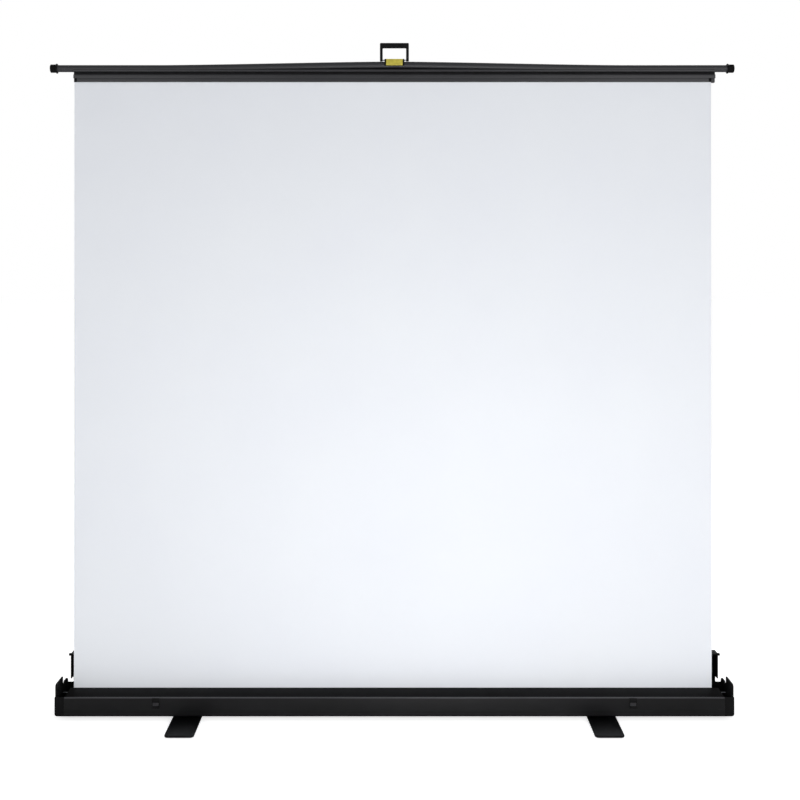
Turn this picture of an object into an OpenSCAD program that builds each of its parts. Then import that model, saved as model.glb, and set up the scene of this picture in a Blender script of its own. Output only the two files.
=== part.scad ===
// Pull-up projection screen: a long case on two swivel feet, a screen that winds onto a
// spring roller, a folding frame behind the screen, and a top bar with a bail handle.
// X runs to the viewer's right, Y away from the viewer, Z up. The origin is on the floor
// under the middle of the feet. The screen stands fully raised and the lid stands open.

/* [Screen] */
// Width of the white fabric
screen_w = 2000; // [1200:5:2000]
// Height from the case deck to the slat, fully raised
screen_h = 1899; // [1500:1:1899]
// Thickness of the coated fabric
screen_t = 0.6; // [0.4:0.1:0.8]
// How far the fabric sits left of the middle
screen_shift = 5; // [0:1:6]
// Distance of the fabric behind the origin, at the slat
screen_y = 12; // [11:0.5:13]

/* [Case] */
// Space between each end of the fabric and the end caps
case_spare = 15; // [15:1:30]
// Height of the front wall
wall_h = 60; // [60:1:70]
// Thickness of the extruded walls
wall_t = 2.5; // [2:0.1:3]
// Front face of the case, before the origin
front_d = 74; // [72:1:80]
// Rear face of the case, behind the origin
rear_d = 66; // [66:1:70]
// Rounding along the lower edges
case_r = 5; // [3:0.5:6]
// Width of each end cap
cap_w = 29; // [22:1:30]
// Thickness of an end cap's outer cheek
cheek_t = 5; // [4:0.5:6]
// Height of the cheeks above the front wall
cheek_rise = 37; // [30:1:38]
// Rounding of the cheeks at the bottom corners
cheek_r = 10; // [6:1:12]
// Thickness of the deck over the roller
deck_t = 2; // [1.5:0.1:2.5]
// Rise of the deck's rear lip above the front lip
deck_rise = 3; // [2:0.5:4]

/* [Roller] */
// Outer diameter of the roller tube
roller_d = 44; // [36:1:44]
// Wall of the roller tube
roller_t = 1.5; // [1:0.1:2]
// Thickness of the fabric turns left on the roller
roll_t = 1.4; // [1:0.1:1.6]
// Distance of the roller axis before the origin
roller_y = 19; // [19:0.5:24]
// Height of the roller axis above the case floor
roller_rise = 29; // [28.5:0.5:29.5]
// Diameter of the journals at the roller's ends
journal_d = 10; // [8:0.5:12]
// Length of the plugs in the roller tube
roller_plug_l = 25; // [20:1:40]
// Length of the roller's spring
spring_l = 290; // [200:10:400]

/* [Lifting frame] */
// Angle of the arms above level when raised
raised_angle = 80; // [76:1:80]
// Height of the lower pivots above the floor
pivot_z = 42; // [41:0.5:44]
// Distance from the middle to each pivot, the pitch radius of the gears
gear_r = 15; // [15:0.5:17]
// Teeth that a full gear would have
gear_teeth = 12; // [12:2:16]
// Width of an arm
arm_w = 22; // [18:1:24]
// Thickness of an arm
arm_t = 5.5; // [4:0.5:5.5]
// Wall of the hollow arm
arm_wall = 1.6; // [1.2:0.1:2]
// Diameter of the pins
pin_d = 8; // [6:0.5:9]
// Front face of the upper arms, behind the origin
arm_y = 38; // [37.5:0.5:38.5]
// Gap between the upper and lower arms
arm_gap = 3.5; // [3:0.5:3.5]
// Thickness of the bracket plates
plate_t = 2.5; // [2:0.5:3]

/* [Top bar] */
// Diameter of the top tube
tube_d = 22; // [18:1:24]
// Wall of the top tube
tube_t = 1.5; // [1:0.1:2]
// How far the bare top tube reaches past each end cap
tube_over = 9; // [4:1:25]
// Rise of the tube at the middle
tube_bow = 11.5; // [4:0.5:12]
// Length of the tube that stays straight at each end
tube_straight = 333; // [250:1:500]
// Length of each end plug that stands out of the tube
plug_l = 22; // [16:1:30]
// Diameter of the end plugs
plug_d = 26; // [25:1:28]
// Diameter of the plugs' inner ring
ring_d = 31; // [30:1:34]
// Thickness of that ring
ring_t = 4; // [3:0.5:6]
// Height of the slat
slat_h = 38; // [36:1:42]
// Depth of the slat
slat_d = 21; // [20.5:0.5:21.5]
// Depth to which the tube sits in the slat
tube_seat = 5.5; // [3:0.5:7]
// Height of the clamp that grips the fabric
clamp_h = 12; // [10:0.5:12]
// Depth of that clamp
clamp_d = 7; // [6:0.5:7]

/* [Handle] */
// Outer width of the bail
bail_w = 91; // [80:1:110]
// Rise of the bail above its pin
bail_h = 58; // [50:1:64]
// Height of its crossbar
bail_bar = 15; // [12:1:18]
// Width of its legs
bail_leg = 8; // [6:1:10]
// Thickness of the bail
bail_t = 7; // [6:0.5:8]
// Width of the label on the handle bracket
label_w = 52; // [40:1:56]
// Height of that label
label_h = 20; // [16:1:22]

/* [Feet] */
// Length of a foot
foot_l = 430; // [300:5:440]
// Width of a foot
foot_w = 88; // [70:1:100]
// Thickness of a foot
foot_t = 6; // [5:0.5:8]
// Distance of each foot from the end of the case
foot_inset = 406; // [340:1:420]
// Thickness of the rubber pads
pad_t = 3; // [2:0.5:4]
// Thickness of the washer between a foot and the case
washer_t = 3; // [2:0.5:4]
// Diameter of those washers
washer_d = 60; // [40:1:80]

/* [Lid] */
// Distance of the lid's pins behind the origin
lid_pin_y = 48; // [47:0.5:49]
// Height of the lid's pins above the floor
lid_pin_z = 30; // [29.5:0.5:31]
// Height of the lid's crown above the front wall, closed
lid_crown = 62; // [60:1:66]
// Thickness of the lid
lid_t = 2; // [1.5:0.5:3]
// Width of the moulded end pieces of the lid
lid_end_w = 17; // [12:1:18]

/* [Catches] */
// Distance of each catch from the end of the case
catch_inset = 311; // [240:1:330]
// Width of a catch plate
catch_w = 24; // [20:1:30]
// Height of a catch plate
catch_h = 32; // [28:1:36]
// Travel of a catch button
catch_travel = 4; // [3:0.5:5]

/* [Clearances] */
// Running clearance on the radius of a pin
run_c = 0.05; // [0.02:0.01:0.09]
// Gap between parts that move past each other
move_c = 0.5; // [0.3:0.1:1]
// Gap at the ends between the lid and the end caps
lid_c = 1; // [0.5:0.5:2]

/* [Hidden] */
$fn = 48;

black = "#26262a";
dark = "#1a1a1c";
steel = "#8d9196";
white = "#eceff5";

// Heights that follow from the feet up
floor_z = pad_t + foot_t + washer_t;
front_z = floor_z + wall_h;
deck_z = front_z + deck_rise;
rear_z = front_z - 6;

// Ends that follow from the fabric
trough_x = screen_w / 2 + case_spare;
cap_x = trough_x + cap_w;
catch_x = cap_x - catch_inset;
foot_x = cap_x - foot_inset;
roller_z = floor_z + wall_t + roller_rise;
hanger_t = 5;
roller_x = trough_x - hanger_t - 2;

// The raised bar, and how far it comes down
slat_z = deck_z + screen_h;
top_pivot_z = slat_z - 8;
lift = top_pivot_z - pivot_z;
arm_l = lift / (2 * sin(raised_angle));
elbow_x = gear_r + arm_l * cos(raised_angle);
elbow_z = pivot_z + lift / 2;
lower_arm_y = arm_y + arm_t + arm_gap;
back_plate_y = lower_arm_y + arm_t + 1;
slat_y = screen_y - 1;
slat_x = screen_w / 2 + 8;
flange_t = 1.7;
tube_y = slat_y + slat_d - flange_t - tube_d / 2 - 0.3;
tube_l = 2 * (cap_x + tube_over);
bow_half = tube_l / 2 - tube_straight;
tube_z = slat_z + slat_h + tube_d / 2 - tube_seat;
stowed_tube_z = tube_z - lift;
screen_x0 = -screen_w / 2 - screen_shift;
screen_x1 = screen_x0 + screen_w;

// The fabric leaves the back of the roll and rises to the clamp
roll_r = roller_d / 2 + roll_t;
screen_low_y = roll_r - roller_y;
felt_t = 1.5;
deck_y = screen_low_y - felt_t - move_c;

// Handle pin, on a bracket that is clamped to the top of the bowed tube
crown_z = tube_z + tube_bow;
bail_pin_z = crown_z + tube_d / 2 + bail_t / 2 + move_c;
bail_y = tube_y;
bail_pin_d = 4;

// An outline drawn in Y and Z, run along X
module along_x(x0, x1) {
    translate([x0, 0, 0]) rotate([90, 0, 90]) linear_extrude(x1 - x0) children();
}

// A cylinder along X, or along Y
module rod_x(x0, x1, y, z, d) {
    translate([x0, y, z]) rotate([0, 90, 0]) cylinder(h = x1 - x0, d = d);
}
module rod_y(y0, y1, x, z, d) {
    translate([x, y0, z]) rotate([-90, 0, 0]) cylinder(h = y1 - y0, d = d);
}

// Box between two corners
module block(a, b) {
    translate(a) cube(b - a);
}

// Rectangle with its two lower corners rounded
module tray_outline(y0, y1, z0, z1, r) {
    translate([y0, z0 + r]) square([y1 - y0, z1 - z0 - r]);
    translate([y0 + r, z0]) square([y1 - y0 - 2 * r, r + 1]);
    for (y = [y0 + r, y1 - r]) translate([y, z0 + r]) circle(r);
}

// Extruded case: front wall, floor, lower rear wall and a rolled front lip
module case_trough() {
    color(black) difference() {
        along_x(-trough_x, trough_x) {
            difference() {
                tray_outline(-front_d, rear_d, floor_z, front_z, case_r);
                tray_outline(wall_t - front_d, rear_d - wall_t, floor_z + wall_t, front_z + 1, case_r - wall_t + 0.5);
                translate([0, rear_z]) square([rear_d + 1, front_z]);
            }
            translate([wall_t - front_d - 0.5, front_z - 5]) square([3.5, 2]);
            translate([rear_d - wall_t - 3, rear_z - 2]) square([3.5, 2]);
        }
        for (s = [-1, 1]) translate([s * foot_x, 0, floor_z - 1]) cylinder(h = wall_t + 2, d = pin_d + 0.4);
        for (s = [-1, 1]) block([s * catch_x - 6, -front_d - 1, front_z - 30], [s * catch_x + 6, wall_t - front_d + 1, front_z - 12]);
    }
}

// Cover over the roller, from the front lip to the screen
module roller_deck() {
    color(dark) along_x(-trough_x, trough_x) {
        polygon([[wall_t - front_d, front_z - deck_t - 1], [deck_y, deck_z - deck_t], [deck_y, deck_z],
            [wall_t - front_d, front_z - 1]]);
        translate([deck_y - 3, deck_z - 6]) square([3, 5]);
    }
}

module slot_felt() {
    color(dark) block([-trough_x, deck_y, deck_z - 6], [trough_x, deck_y + felt_t, deck_z - 0.5]);
}

// Side outline of a cheek: high in front, a notch for the tube, a low back
module cheek_outline() {
    top_z = front_z + cheek_rise;
    back_z = stowed_tube_z - 6;
    notch_r = tube_d / 2 + move_c;
    setback = 7;
    difference() {
        union() {
            tray_outline(-front_d, rear_d, floor_z, front_z, case_r);
            translate([setback - front_d, front_z - 1]) square([front_d, cheek_rise - 8]);
            translate([setback + 9 - front_d, front_z]) square([front_d - 9 - setback + tube_y - notch_r - 2, cheek_rise]);
            translate([setback + 9 - front_d, top_z - 9]) circle(9);
            translate([0, front_z - 1]) square([rear_d - 14, back_z - front_z + 1]);
            translate([rear_d - 14, back_z - 14]) circle(14);
            translate([0, front_z - 2]) square([rear_d, back_z - front_z - 12]);
        }
        translate([tube_y, stowed_tube_z]) circle(notch_r);
        translate([tube_y - notch_r, stowed_tube_z]) square([2 * notch_r, 60]);
    }
}

// Moulded end cap: an outer cheek on a sleeve that takes up the trough's section
module end_cap() {
    difference() {
        union() {
            along_x(cap_x - cheek_t, cap_x) cheek_outline();
            along_x(trough_x, cap_x - cheek_t) difference() {
                tray_outline(-front_d, rear_d, floor_z, front_z, case_r);
                tray_outline(wall_t - front_d, rear_d - wall_t, floor_z + wall_t, front_z + 1, case_r - wall_t + 0.5);
                translate([roll_r - roller_y + 14, floor_z + wall_t]) square([80, 90]);
            }
        }
        rod_x(cap_x - cheek_t - 1, cap_x - 2, lid_pin_y, lid_pin_z, pin_d);
        for (p = screw_points()) rod_x(cap_x - 2, cap_x + 1, p[0], p[1], 8);
        for (p = screw_points()) rod_x(trough_x - 1, cap_x + 1, p[0], p[1], 4.4);
        translate([cap_x - cheek_r, -front_d - 1, floor_z + cheek_r]) rotate([-90, 0, 0]) difference() {
            cube([cheek_r + 1, cheek_r + 1, front_d + rear_d + 2]);
            cylinder(h = front_d + rear_d + 2, r = cheek_r);
        }
    }
}
function screw_points() = [[9 - front_d, front_z - 9], [9 - front_d, floor_z + 12],
    [6, floor_z + 12], [6, front_z - 14]];
module end_cap_left() {
    color(dark) mirror([1, 0, 0]) end_cap();
}
module end_cap_right() {
    color(dark) end_cap();
}

// Countersunk screws that hold each end cap to the roller hanger behind it
module end_cap_screws() {
    color(steel) for (s = [0, 1]) mirror([s, 0, 0]) for (p = screw_points()) {
        rod_x(cap_x - 2, cap_x - 0.4, p[0], p[1], 7.6);
        rod_x(trough_x, cap_x - 2, p[0], p[1], 4);
    }
}

// Plate inside each end that carries the roller
module roller_hanger(journal) {
    along_x(trough_x - hanger_t, trough_x) difference() {
        translate([wall_t - front_d + 0.5, floor_z + wall_t]) square([front_d - wall_t + 6.5, front_z - floor_z - wall_t - 7]);
        translate([-roller_y, roller_z]) circle(d = journal);
        translate([wall_t - front_d, floor_z + wall_t]) square([4, 4]);
    }
}
module roller_hanger_left() {
    color(steel) mirror([1, 0, 0]) roller_hanger(journal_d);
}
module roller_hanger_right() {
    color(steel) roller_hanger(journal_d + 2 * run_c);
}

// Fixed spindle that the roller spring winds against
module spring_spindle() {
    color(steel) rod_x(-trough_x, -roller_x + roller_plug_l + spring_l + 5, -roller_y, roller_z, journal_d);
}

// Rear plate and foot that hold the two lower pivots
module base_bracket() {
    half = gear_r + arm_w;
    color(steel) difference() {
        union() {
            block([-half, back_plate_y, floor_z + wall_t], [half, back_plate_y + plate_t, pivot_z + 18]);
            block([-half, back_plate_y - 20, floor_z + wall_t], [half, back_plate_y, floor_z + wall_t + plate_t]);
        }
        for (s = [-1, 1]) rod_y(back_plate_y - 1, back_plate_y + plate_t + 1, s * gear_r, pivot_z, pin_d);
        for (s = [-1, 1]) translate([s * (half - 8), back_plate_y - 10, floor_z]) cylinder(h = 9, d = 5.2);
    }
}
module base_bracket_screws() {
    color(steel) for (s = [-1, 1]) translate([s * (gear_r + arm_w - 8), back_plate_y - 10, 0]) {
        translate([0, 0, floor_z + wall_t]) cylinder(h = plate_t, d = 5);
        translate([0, 0, floor_z + wall_t + plate_t]) cylinder(h = 2.5, d = 9);
    }
}

// Pins of the lifting frame, with a head on the far side of the arm
module frame_pin(x, z, y0, y1, head_y) {
    rod_y(y0, y1, x, z, pin_d);
    rod_y(head_y, head_y + 1, x, z, pin_d + 6);
}
module base_pins() {
    color(steel) for (s = [-1, 1])
        frame_pin(s * gear_r, pivot_z, lower_arm_y - 1.2, back_plate_y + plate_t, lower_arm_y - 1.2);
}
module top_pins() {
    color(steel) for (s = [-1, 1])
        frame_pin(s * gear_r, top_pivot_z, slat_y + slat_d, arm_y + arm_t + 1.2, arm_y + arm_t + 0.2);
}
module elbow_pin(s) {
    color(steel) {
        frame_pin(s * elbow_x, elbow_z, arm_y - 1.2, lower_arm_y + arm_t + 0.7, arm_y - 1.2);
        rod_y(lower_arm_y - arm_gap + move_c, lower_arm_y, s * elbow_x, elbow_z, pin_d + 8);
    }
}
module elbow_pin_left() {
    elbow_pin(-1);
}
module elbow_pin_right() {
    elbow_pin(1);
}

// A flat hollow arm drawn level from its first pivot, with a round eye at each end
module arm(first_d, second_d) {
    difference() {
        union() {
            block([0, 0, -arm_w / 2], [arm_l, arm_t, arm_w / 2]);
            rod_y(0, arm_t, 0, 0, arm_w);
            rod_y(0, arm_t, arm_l, 0, arm_w);
        }
        block([arm_w, arm_wall, arm_wall - arm_w / 2], [arm_l - arm_w, arm_t - arm_wall, arm_w / 2 - arm_wall]);
        rod_y(-1, arm_t + 1, 0, 0, first_d);
        rod_y(-1, arm_t + 1, arm_l, 0, second_d);
    }
}

// Lower arms lean out from the base, upper arms lean back in to the bar
module lower_arm() {
    translate([gear_r, lower_arm_y, pivot_z]) rotate([0, -raised_angle, 0]) difference() {
        arm(pin_d + 2 * run_c, pin_d);
        block([-arm_w, -1, -arm_w], [gear_seat_r, arm_t / 2, arm_w]);
    }
}
module upper_arm() {
    translate([gear_r, arm_y, top_pivot_z]) rotate([0, raised_angle, 0]) difference() {
        arm(pin_d + 2 * run_c, pin_d + 2 * run_c);
        block([-arm_w, arm_t / 2, -arm_w], [gear_seat_r, arm_t + 1, arm_w]);
    }
}
gear_seat_r = 21;
module lower_arm_left() {
    color(dark) mirror([1, 0, 0]) lower_arm();
}
module lower_arm_right() {
    color(dark) lower_arm();
}
module upper_arm_left() {
    color(dark) mirror([1, 0, 0]) upper_arm();
}
module upper_arm_right() {
    color(dark) upper_arm();
}

// Gear fixed in the seat at the end of an arm. Both gears of a pair are equal, so the
// arms open alike. Teeth are involutes of the base circle, thinned by the backlash.
pressure_angle = 20;
backlash_angle = 1.2;
base_r = gear_r * cos(pressure_angle);
tooth_module = 2 * gear_r / gear_teeth;
tip_r = gear_r + 0.85 * tooth_module;
root_r = gear_r - 1.15 * tooth_module;
function roll_angle(r) = sqrt(max(0, r * r / (base_r * base_r) - 1)) * 180 / PI;
function flank_turn(r) = roll_angle(r) - atan(roll_angle(r) * PI / 180);
function half_tooth(r) = 90 / gear_teeth - backlash_angle / 2 + flank_turn(gear_r) - flank_turn(r);
flank_radii = [for (i = [0:4]) base_r + i * (tip_r - base_r) / 4];
module gear_outline() {
    circle(root_r);
    for (i = [0:gear_teeth - 1]) rotate(i * 360 / gear_teeth) polygon(concat(
        [[0, -1], for (r = flank_radii) r * [cos(half_tooth(r)), -sin(half_tooth(r))]],
        [for (i = [4:-1:0]) flank_radii[i] * [cos(half_tooth(flank_radii[i])), sin(half_tooth(flank_radii[i]))], [0, 1]]));
}
// A tooth of the left gear points at the other gear, and a gap of the right gear faces it
module gear_at(s, y0, z) {
    phase = s < 0 ? 0 : 180 / gear_teeth;
    translate([s * gear_r, y0 + arm_t / 2 - 0.2, z]) rotate([90, 0, 0]) linear_extrude(arm_t / 2 - 0.4) difference() {
        rotate(phase + (s < 0 ? 0 : 180)) gear_outline();
        circle(d = pin_d + 2 * run_c);
    }
}
module lower_gear_left() {
    color(steel) gear_at(-1, lower_arm_y, pivot_z);
}
module lower_gear_right() {
    color(steel) gear_at(1, lower_arm_y, pivot_z);
}
module upper_gear_left() {
    color(steel) gear_at(-1, arm_y + arm_t / 2 + 0.2, top_pivot_z);
}
module upper_gear_right() {
    color(steel) gear_at(1, arm_y + arm_t / 2 + 0.2, top_pivot_z);
}

// Pins fixed in the end caps, on which the lid turns
module lid_pins() {
    color(steel) for (s = [0, 1]) mirror([s, 0, 0])
        rod_x(lid_end_x - 9, cap_x - 2, lid_pin_y, lid_pin_z, pin_d);
}

// The lid is drawn closed and then turned back through a right angle about its pins
lid_end_x = cap_x - cheek_t - lid_c;
crown_r = 26;
module lid_outline(inset) {
    y0 = -front_d + inset;
    y1 = rear_d - inset;
    top = front_z + lid_crown - inset;
    r = crown_r - inset;
    translate([y0, front_z + 1]) square([y1 - y0, top - front_z - 1 - r]);
    translate([y0 + r, top - r - 1]) square([y1 - y0 - 2 * r, r + 1]);
    for (y = [y0 + r, y1 - r]) translate([y, top - r]) circle(r);
}
module opened() {
    translate([0, lid_pin_y, lid_pin_z]) rotate([-90, 0, 0]) translate([0, -lid_pin_y, -lid_pin_z]) children();
}
module lid_panel() {
    color(black) opened() along_x(lid_end_w - lid_end_x, lid_end_x - lid_end_w) {
        difference() {
            lid_outline(0);
            lid_outline(lid_t);
            translate([lid_t - front_d, front_z]) square([rear_d + front_d - 2 * lid_t, 20]);
        }
        translate([lid_t - front_d - 0.5, front_z + 1]) square([5, 2]);
    }
}
// Moulded end of the lid: closed skin, an arm down to the pin, an ear at the front edge
module lid_end() {
    notch_r = tube_d / 2 + 3;
    opened() difference() {
        union() {
            along_x(lid_end_x - lid_end_w, lid_end_x) lid_outline(0);
            along_x(lid_end_x - 8, lid_end_x) difference() {
                union() {
                    translate([lid_pin_y, lid_pin_z]) circle(8);
                    translate([lid_pin_y - 8, lid_pin_z]) square([16, front_z - lid_pin_z + 2]);
                }
            }
            along_x(lid_end_x - 1, cap_x) translate([-front_d, front_z + 1]) square([6, 9]);
        }
        along_x(lid_end_x - lid_end_w - 1, lid_end_x + 1) {
            translate([tube_y, stowed_tube_z]) circle(notch_r);
            translate([tube_y - notch_r, front_z]) square([2 * notch_r, stowed_tube_z - front_z]);
            translate([lid_pin_y, lid_pin_z]) circle(d = pin_d + 2 * run_c);
        }
        along_x(lid_end_x - lid_end_w - 1, lid_end_x - 3) difference() {
            lid_outline(3);
            translate([-front_d - 1, 0]) square([front_d + rear_d + 2, front_z + 4]);
        }
        along_x(lid_end_x - lid_end_w - 1, lid_end_x - 8.01)
            translate([tube_y, front_z]) square([rear_d - tube_y - 3, 12]);
    }
}
module lid_end_left() {
    color(dark) mirror([1, 0, 0]) lid_end();
}
module lid_end_right() {
    color(dark) lid_end();
}
// Steel hooks inside the lid's front edge, one over each catch
module lid_strikers() {
    color(steel) opened() for (s = [-1, 1])
        block([s * catch_x - 8, lid_t - front_d, front_z + 3], [s * catch_x + 8, lid_t - front_d + 2, front_z + 18]);
}

// Front catches: a plate on the wall, a button that slides down in it, and its spring
module catch_plate(s) {
    z1 = front_z - 2;
    color(dark) difference() {
        block([s * catch_x - catch_w / 2, -front_d - 2, z1 - catch_h], [s * catch_x + catch_w / 2, -front_d, z1]);
        block([s * catch_x - 9 - move_c, -front_d - 3, z1 - 26 - catch_travel], [s * catch_x + 9 + move_c, -front_d + 1, z1 - 14]);
    }
}
module catch_plate_left() {
    catch_plate(-1);
}
module catch_plate_right() {
    catch_plate(1);
}
module catch_button(s) {
    z1 = front_z - 16.5;
    color(black) {
        block([s * catch_x - 9, -front_d - 4, z1 - 9], [s * catch_x + 9, -front_d - 0.3, z1]);
        block([s * catch_x - 4, -front_d - 0.3, z1 - 7], [s * catch_x + 4, wall_t - front_d + 3, z1]);
    }
}
module catch_button_left() {
    catch_button(-1);
}
module catch_button_right() {
    catch_button(1);
}
module catch_springs() {
    z1 = front_z - 16.5;
    color(steel) for (s = [-1, 1]) translate([s * catch_x, wall_t - front_d + 1.5, floor_z + case_r + 0.5])
        difference() {
            cylinder(h = z1 - 7.5 - floor_z - case_r, d = 3);
            translate([0, 0, -1]) cylinder(h = wall_h, d = 1.6);
        }
}

// Feet: flat plates that turn about a pin through the case floor
module foot(s) {
    color(dark) translate([s * foot_x, 0, pad_t]) difference() {
        linear_extrude(foot_t) {
            square([foot_w, foot_l - 2 * foot_corner], center = true);
            square([foot_w - 2 * foot_corner, foot_l], center = true);
            for (x = [-1, 1], y = [-1, 1])
                translate([x * (foot_w / 2 - foot_corner), y * (foot_l / 2 - foot_corner)]) circle(foot_corner);
        }
        translate([0, 0, -1]) cylinder(h = foot_t + 2, d = pin_d + 2 * run_c);
        translate([0, 0, -1]) cylinder(h = 3, d = 20);
    }
}
foot_corner = 12;
module foot_left() {
    foot(-1);
}
module foot_right() {
    foot(1);
}
module foot_pads(s) {
    color(dark) for (y = [-1, 1]) translate([s * foot_x, y * (foot_l / 2 - 28), 0])
        linear_extrude(pad_t) square([foot_w - 24, 30], center = true);
}
module foot_pads_left() {
    foot_pads(-1);
}
module foot_pads_right() {
    foot_pads(1);
}
module foot_pins() {
    color(steel) for (s = [-1, 1]) translate([s * foot_x, 0, 0]) {
        translate([0, 0, pad_t + 0.3]) cylinder(h = 1.5, d = 18);
        translate([0, 0, pad_t + 0.3]) cylinder(h = floor_z + wall_t - pad_t + 2, d = pin_d);
        translate([0, 0, floor_z + wall_t]) cylinder(h = 3.5, d = 16);
    }
}
module foot_washers() {
    color(dark) for (s = [-1, 1]) translate([s * foot_x, 0, floor_z - washer_t + 0.05]) difference() {
        cylinder(h = washer_t - 0.05, d = washer_d);
        translate([0, 0, -1]) cylinder(h = washer_t + 2, d = pin_d);
    }
}

// Roller: tube, plugs, spring sleeve and the turns of fabric left on it
module roller_tube() {
    color(steel) difference() {
        rod_x(-roller_x, roller_x, -roller_y, roller_z, roller_d);
        rod_x(-roller_x - 1, roller_x + 1, -roller_y, roller_z, roller_d - 2 * roller_t);
    }
}
module roller_plug_left() {
    color(dark) difference() {
        rod_x(-roller_x, -roller_x + roller_plug_l, -roller_y, roller_z, roller_d - 2 * roller_t);
        rod_x(-roller_x - 1, -roller_x + roller_plug_l + 1, -roller_y, roller_z, journal_d + 2 * run_c);
    }
}
module roller_plug_right() {
    color(dark) {
        rod_x(roller_x - roller_plug_l, roller_x, -roller_y, roller_z, roller_d - 2 * roller_t);
        rod_x(roller_x, trough_x, -roller_y, roller_z, journal_d);
    }
}
module roller_spring() {
    spring_x = roller_plug_l - roller_x;
    color(steel) difference() {
        rod_x(spring_x, spring_x + spring_l, -roller_y, roller_z, journal_d + 6);
        rod_x(spring_x - 1, spring_x + spring_l + 1, -roller_y, roller_z, journal_d + 2 * run_c);
    }
}
module screen_roll() {
    color(white) difference() {
        rod_x(screen_x0, screen_x1, -roller_y, roller_z, 2 * roll_r - 0.2);
        rod_x(screen_x0 - 1, screen_x1 + 1, -roller_y, roller_z, roller_d);
    }
}

// The fabric, one taut sheet from the back of the roll into the clamp
module screen() {
    color(white) along_x(screen_x0, screen_x1) polygon([[screen_low_y + 0.2, roller_z],
        [screen_low_y + 0.2 + screen_t, roller_z], [screen_y + screen_t / 2, slat_z],
        [screen_y + screen_t / 2, slat_z + 6], [screen_y - screen_t / 2, slat_z + 6],
        [screen_y - screen_t / 2, slat_z]]);
}

// Top bar
module slat() {
    front = slat_y - 3;
    color(black) along_x(-slat_x, slat_x) difference() {
        union() {
            translate([slat_y, clamp_h + slat_z]) square([slat_d, slat_h - clamp_h]);
            translate([slat_y + clamp_d - 2, slat_z]) square([slat_d - clamp_d + 2, slat_h]);
            translate([front, slat_z + clamp_h]) square([8, 9]);
            translate([front, slat_z + 26]) square([8, 6]);
            translate([slat_y + slat_d - flange_t, slat_z + slat_h - 1]) square([flange_t, 14]);
        }
        translate([slat_y + 8, slat_z + 3]) square([slat_d - 10, slat_h - 18]);
        translate([tube_y, tube_z]) circle(d = tube_d + 0.1);
    }
}
module screen_clamp() {
    color(black) along_x(screen_x0 + 8, screen_x1 - 8) difference() {
        translate([slat_y + clamp_d - 2 - clamp_d, slat_z]) square([clamp_d, clamp_h]);
        translate([screen_y - screen_t / 2, slat_z - 1]) square([screen_t, 7]);
    }
}
module clamp_end(x0, x1) {
    color(dark) block([x0, slat_y - 2.5, slat_z], [x1, screen_y - screen_t / 2, slat_z + clamp_h]);
}
module clamp_end_left() {
    clamp_end(screen_x0, screen_x0 + 8);
}
module clamp_end_right() {
    clamp_end(screen_x1 - 8, screen_x1);
}

// The tube rises evenly from each side to the middle, where the lifting frame pushes.
// It is one sweep of a round ring through its two ends, its two side bends and its crown.
tube_sides = 32;
tube_x = [-tube_l / 2, -bow_half, 0, bow_half, tube_l / 2];
tube_rise = [0, 0, tube_bow, 0, 0];
function tube_ring(r, k) = [for (i = [0:tube_sides - 1])
    [tube_x[k], tube_y + r * cos(i * 360 / tube_sides), tube_z + tube_rise[k] + r * sin(i * 360 / tube_sides)]];
function strip(a, b, i) = [a + i, a + (i + 1) % tube_sides, b + (i + 1) % tube_sides, b + i];
module top_tube() {
    n = tube_sides;
    outer = [for (k = [0:4]) each tube_ring(tube_d / 2, k)];
    inner = [for (k = [0:4]) each tube_ring(tube_d / 2 - tube_t, k)];
    color(black) polyhedron(concat(outer, inner), concat(
        [for (k = [0:3], i = [0:n - 1]) strip(k * n, (k + 1) * n, i)],
        [for (k = [5:8], i = [0:n - 1]) strip((k + 1) * n, k * n, i)],
        [for (i = [0:n - 1]) strip(5 * n, 0, i)],
        [for (i = [0:n - 1]) strip(4 * n, 9 * n, i)]));
}
// Ribbed plug with a ring against the end of the tube and a spigot inside it
module tube_plug() {
    x0 = tube_l / 2;
    ribs = 16;
    rod_x(x0 - 30, x0, tube_y, tube_z, tube_d - 2 * tube_t - 0.3);
    rod_x(x0, x0 + ring_t, tube_y, tube_z, ring_d);
    difference() {
        rod_x(x0 + ring_t, x0 + plug_l, tube_y, tube_z, plug_d);
        for (i = [0:ribs - 1]) translate([x0 + ring_t, tube_y, tube_z]) rotate([i * 360 / ribs, 0, 0])
            translate([0, plug_d / 2 - 0.8, -1.2]) cube([plug_l, 3, 2.4]);
    }
}
module tube_plug_left() {
    color(dark) mirror([1, 0, 0]) tube_plug();
}
module tube_plug_right() {
    color(dark) tube_plug();
}

// Plate behind the slat with the two upper pivots
module top_bracket() {
    half = gear_r + arm_w;
    y0 = slat_y + slat_d;
    color(steel) difference() {
        block([-half, y0, top_pivot_z - 14], [half, y0 + plate_t, slat_z + slat_h - 6]);
        for (s = [-1, 1]) rod_y(y0 - 1, y0 + plate_t + 1, s * gear_r, top_pivot_z, pin_d);
    }
}

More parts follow.
